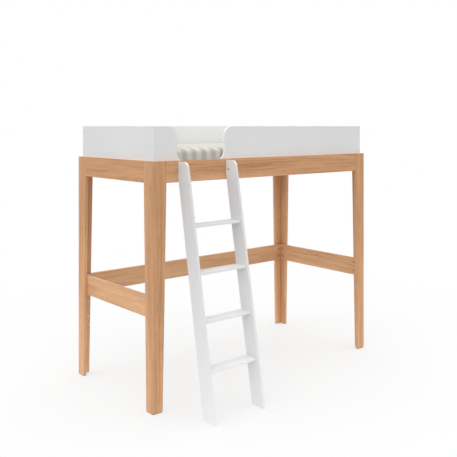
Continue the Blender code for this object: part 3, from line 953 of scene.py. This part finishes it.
def dress_frame():
    """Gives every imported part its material. Boards of one kind share a wood, with the grain along each.

    Each wood and paint has a seed of its own, so that no two patterns are alike.
    """
    oiled = (WOOD_DARK, WOOD_MIDDLE, WOOD_LIGHT)
    woods = {}
    pale = (SLAT_DARK, SLAT_MIDDLE, SLAT_LIGHT)
    slat_woods = [knotty_wood("slat_wood_1", "Y", pale, 3), knotty_wood("slat_wood_2", "Y", pale, 4)]
    cleat_wood = knotty_wood("cleat_wood", "X", pale, 9)
    panel_paint = paint("panel_paint", PAINT, 1)
    # The ladder's paint carries a cool painted tint against the wood's warm light
    ladder_paint = paint("ladder_paint", LADDER_PAINT, 2, wear=0.03)
    # The treads' paint is lighter, as painted light from above
    lit_tread_paint = paint("lit_tread_paint", LIT_TREAD_PAINT, 3, wear=0.03)
    metal = steel("zinc_plated_steel", STEEL)
    nut_shade_metal = steel("steel_painted_with_hole_shade", NUT_HOLE_SHADE_STEEL)
    rail_bolt_metal = bronze_lacquer()
    pad_felt = felt()
    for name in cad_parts:
        if name == "mattress":
            continue
        if name.endswith("_cleat"):
            dress(name, cleat_wood)
        elif name.startswith("slat_"):
            dress(name, slat_woods[int(name[-2:]) % 2])
        # The barrel nuts get steel darkened with the painted shade of their holes
        elif "nut" in name:
            dress(name, nut_shade_metal)
        elif "rail_bolt" in name:
            dress(name, rail_bolt_metal)
        elif "bolt" in name:
            dress(name, metal)
        elif name.endswith("_pad"):
            dress(name, pad_felt)
        elif name.endswith("_panel"):
            dress(name, panel_paint)
        elif "tread" in name:
            dress(name, lit_tread_paint)
        elif name.startswith("ladder_"):
            dress(name, ladder_paint)
        else:
            axis = long_axis(name)
            start = next(start for start in BOARD_PAINTED_LIGHT if name.startswith(start))
            if (start, axis) not in woods:
                # Each kind's wood colours carry its painted light and shade tone
                colours = [toned(colour, BOARD_PAINTED_LIGHT[start]) for colour in oiled]
                wood_name = f"oiled_wood_{start}{axis.lower()}"
                woods[start, axis] = wood(wood_name, axis, colours, 5 + len(woods))
            dress(name, woods[start, axis])
    return metal


# ---------------------------------------------------------------- studio


def surroundings():
    """White to look at. Its light is brighter from overhead than from the horizon."""
    world = bpy.data.worlds.new("studio")
    world.use_nodes = True
    nodes = world.node_tree.nodes
    links = world.node_tree.links
    backdrop = nodes["Background"]
    backdrop.inputs["Color"].default_value = (1.0, 1.0, 1.0, 1.0)
    sky = nodes.new("ShaderNodeBackground")
    direction = nodes.new("ShaderNodeSeparateXYZ")
    links.new(nodes.new("ShaderNodeTexCoord").outputs["Generated"], direction.inputs[0])
    rise = nodes.new("ShaderNodeMapRange")
    rise.inputs["From Min"].default_value = 0.0
    rise.inputs["From Max"].default_value = 1.0
    rise.inputs["To Min"].default_value = SKY_LOW
    rise.inputs["To Max"].default_value = SKY_LOW + SKY_RISE
    links.new(direction.outputs["Z"], rise.inputs["Value"])
    links.new(rise.outputs["Result"], sky.inputs["Strength"])
    seen = nodes.new("ShaderNodeLightPath")
    choice = nodes.new("ShaderNodeMixShader")
    links.new(seen.outputs["Is Camera Ray"], choice.inputs["Fac"])
    links.new(sky.outputs["Background"], choice.inputs[1])
    links.new(backdrop.outputs["Background"], choice.inputs[2])
    links.new(choice.outputs["Shader"], nodes["World Output"].inputs["Surface"])
    return world


def broad_light(name, toward, strength, angle_deg):
    """A very soft light that comes from one direction."""
    lamp = bpy.data.lights.new(name, "SUN")
    lamp.energy = strength
    lamp.angle = math.radians(angle_deg)
    lamp_object = bpy.data.objects.new(name, lamp)
    lamp_object.location = LAMP_DISTANCE * Vector(toward)
    lamp_object.rotation_euler = (-Vector(toward)).to_track_quat("-Z", "Y").to_euler()
    bpy.context.scene.collection.objects.link(lamp_object)


def studio():
    """A white floor and surroundings, two broad lights and the camera."""
    scene = bpy.context.scene
    scene.view_settings.view_transform = "Standard"
    scene.view_settings.look = "None"
    scene.world = surroundings()

    build = bmesh.new()
    bmesh.ops.create_circle(build, cap_ends=True, segments=FLOOR_SIDES, radius=FLOOR_RADIUS)
    floor = new_object("studio_floor", build, floor_material())

    broad_light("key_light", KEY_FROM, KEY_STRENGTH, KEY_ANGLE_DEG)
    broad_light("fill_light", FILL_FROM, FILL_STRENGTH, FILL_ANGLE_DEG)

    corner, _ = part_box("front_left_leg_front_board")
    camera = bpy.data.cameras.new("camera")
    camera.lens = CAMERA_LENS
    camera.sensor_width = CAMERA_SENSOR
    camera.shift_y = CAMERA_SHIFT_Y
    camera_object = bpy.data.objects.new("camera", camera)
    camera_object.location = Vector((corner.x, corner.y, 0.0)) + CAMERA_BACK
    camera_object.rotation_euler = (math.radians(90), 0.0, math.radians(-CAMERA_TURN_DEG))
    scene.collection.objects.link(camera_object)
    scene.camera = camera_object


metal = dress_frame()
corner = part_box("front_left_leg_front_board")[0]
cover, cover_low, cover_high = mattress(mattress_cover(corner.x + STRIPE_START))
mattress_seams(cover, cover_low, cover_high, seam_cloth(), zip_tape())
screws("slat_screws", slat_screw_spots(), metal)
screws("cleat_screws", cleat_screw_spots(), metal)
screws("panel_screws", panel_screw_spots(), metal)
leg_inserts(steel("bright_zinc", BRIGHT_ZINC))
studio()
